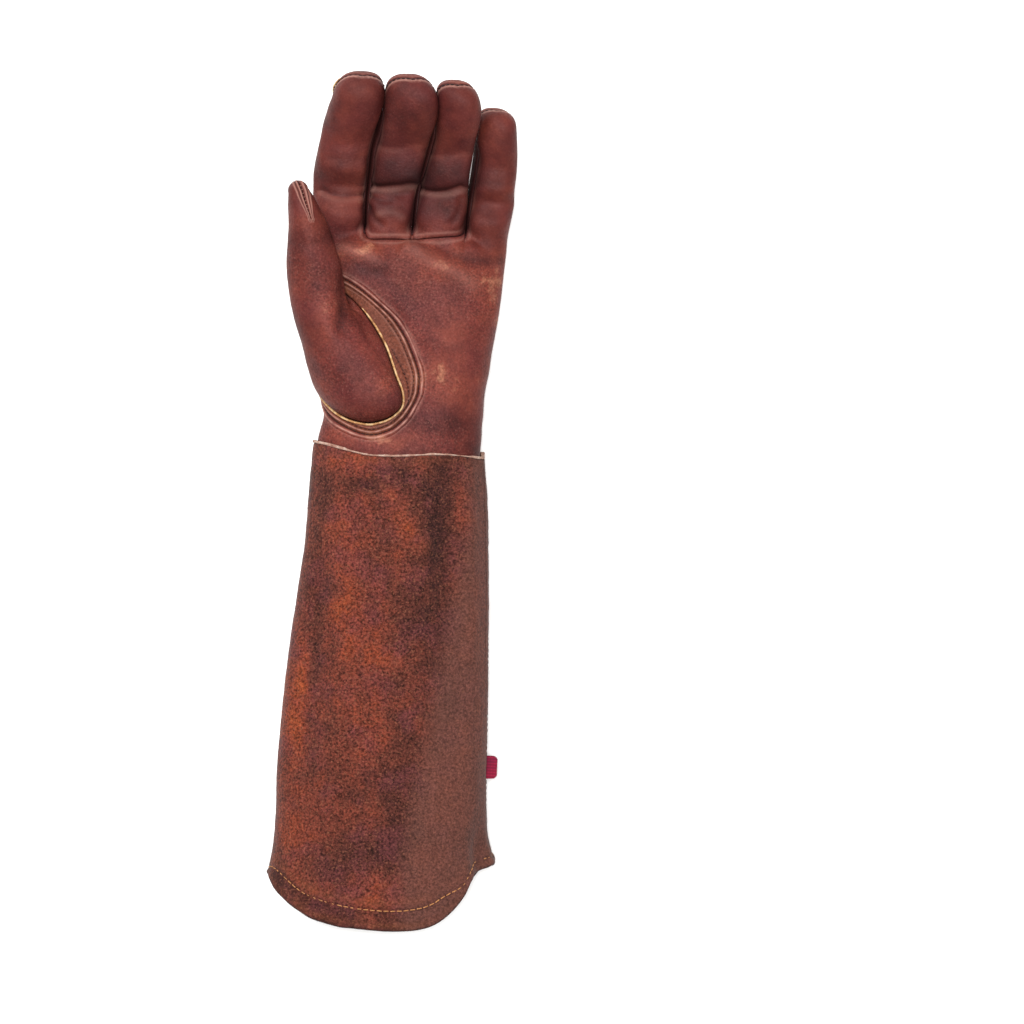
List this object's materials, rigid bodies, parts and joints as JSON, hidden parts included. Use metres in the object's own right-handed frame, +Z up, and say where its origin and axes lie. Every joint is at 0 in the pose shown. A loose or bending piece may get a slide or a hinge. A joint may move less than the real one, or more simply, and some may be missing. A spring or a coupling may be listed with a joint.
{
  "type": "rose pruning gauntlet",
  "caption": "Long left-hand gardening gauntlet: smooth leather hand with curled fingers, piped thumb and a wide suede cuff with a curved folded hem, resting palm up.",
  "frame": {"origin": "on the floor, under the middle of the whole glove's box", "axes": "+Y from the cuff's hem to the fingertips, +X from the thumb to the little finger, +Z up from the back of the hand to the palm"},
  "size_m": [0.1264, 0.4496, 0.0699],
  "materials": {
    "hand_leather": "smooth full grain, soft sheen",
    "cuff_suede": "brushed suede, mottled",
    "cut_edge": "raw cut edge",
    "gold_welt": "matt",
    "red_ribbon": "woven, matt"
  },
  "bodies": {
    "root": {"palm_panel": "hand_leather", "middle_ring_front": "hand_leather", "back_panel": "hand_leather", "fork_index_middle": "hand_leather", "fork_middle_ring": "hand_leather", "fork_ring_little": "hand_leather", "thumb": "hand_leather", "thumb_crescent": "hand_leather", "cuff_front": "cuff_suede", "cuff_back": "cuff_suede", "cuff_cut_edge": "cut_edge", "thumb_piping": "gold_welt", "back_piping": "gold_welt", "side_tab": "red_ribbon"}
  },
  "joints": []
}
